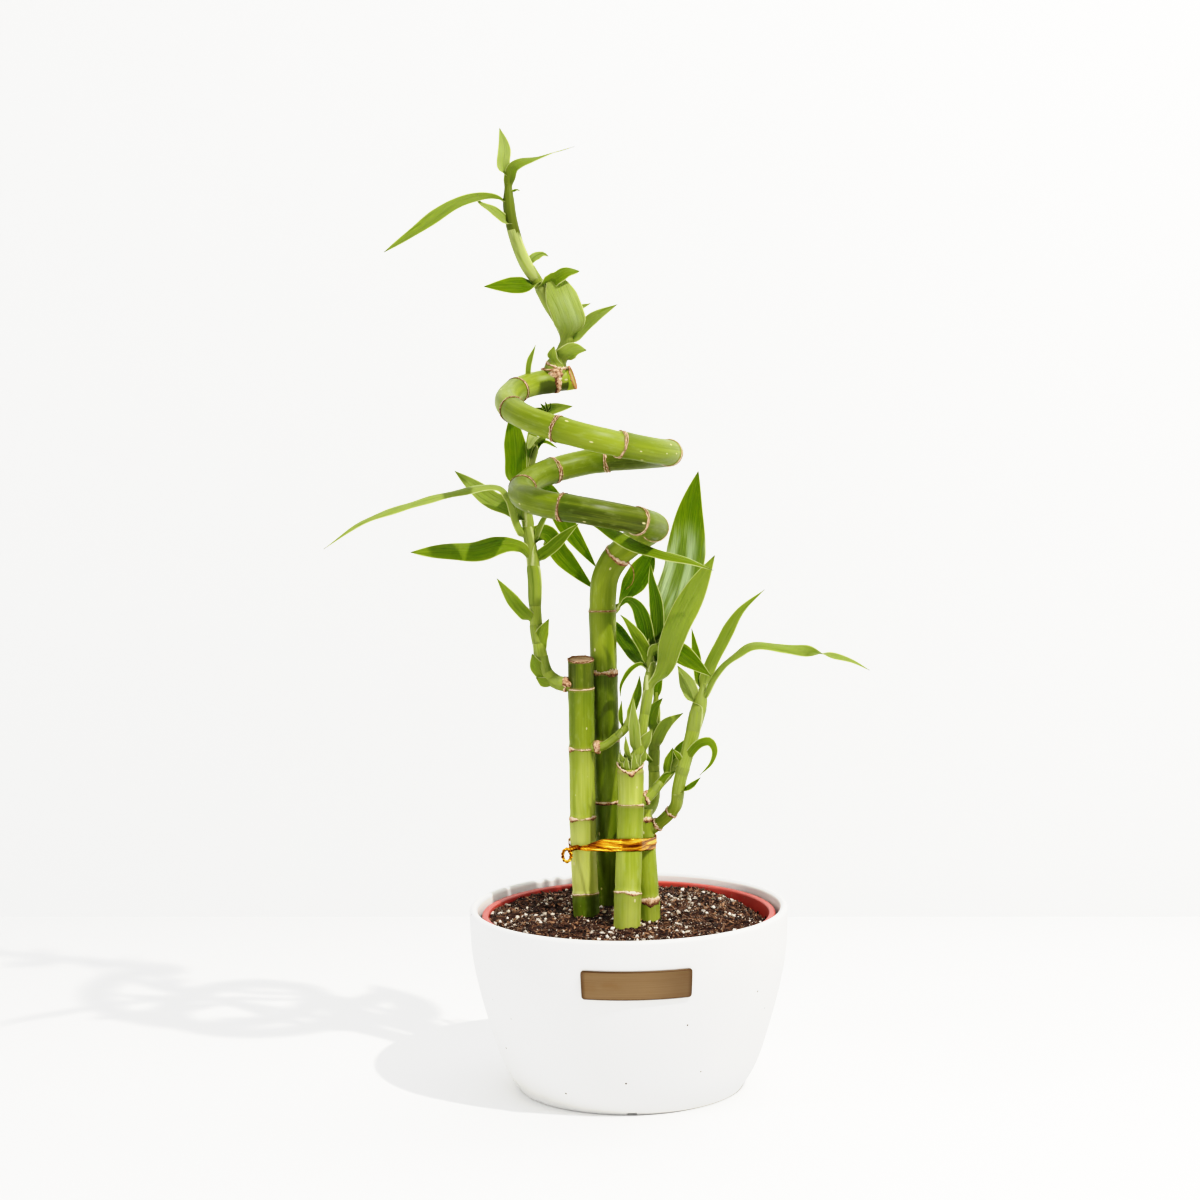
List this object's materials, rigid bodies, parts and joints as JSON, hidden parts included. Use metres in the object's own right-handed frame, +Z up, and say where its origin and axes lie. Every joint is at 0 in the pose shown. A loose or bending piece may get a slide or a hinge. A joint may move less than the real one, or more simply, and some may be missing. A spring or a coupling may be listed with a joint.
{
  "type": "potted lucky bamboo",
  "caption": "Lucky bamboo with straight cut canes and one spiral cane, leafy side shoots, tied with foil and standing in soil in a round tapered planter with a bare brass plaque.",
  "frame": {"origin": "centre of the planter's foot, on the surface that it stands on", "axes": "+Z up, +X to the right and +Y away from a viewer who faces the plaque"},
  "size_m": [0.2305, 0.1408, 0.4198],
  "materials": {
    "stoneware": "matte white with fine dark specks",
    "nursery_plastic": "red-brown moulded plastic",
    "potting_mix": "dark fibrous potting mix with pale grains",
    "brass_plate": "antique brushed",
    "gold_foil": "crumpled metallised film",
    "cane": "glossy green with fine lengthwise streaks and tan node scars",
    "leaf": "satin green with parallel veins"
  },
  "bodies": {
    "root": {"planter": "stoneware", "nursery_pot": "nursery_plastic", "soil": "potting_mix", "plaque": "brass_plate", "tie": "gold_foil", "cane_left": "cane", "cane_front": "cane", "cane_right": "cane", "cane_spiral": "cane", "shoot_top": "leaf", "shoot_left": "leaf", "shoot_left_low": "leaf", "shoot_bend": "leaf", "shoot_front": "leaf", "shoot_front_side": "leaf", "shoot_back": "leaf", "shoot_right": "leaf"}
  },
  "joints": []
}
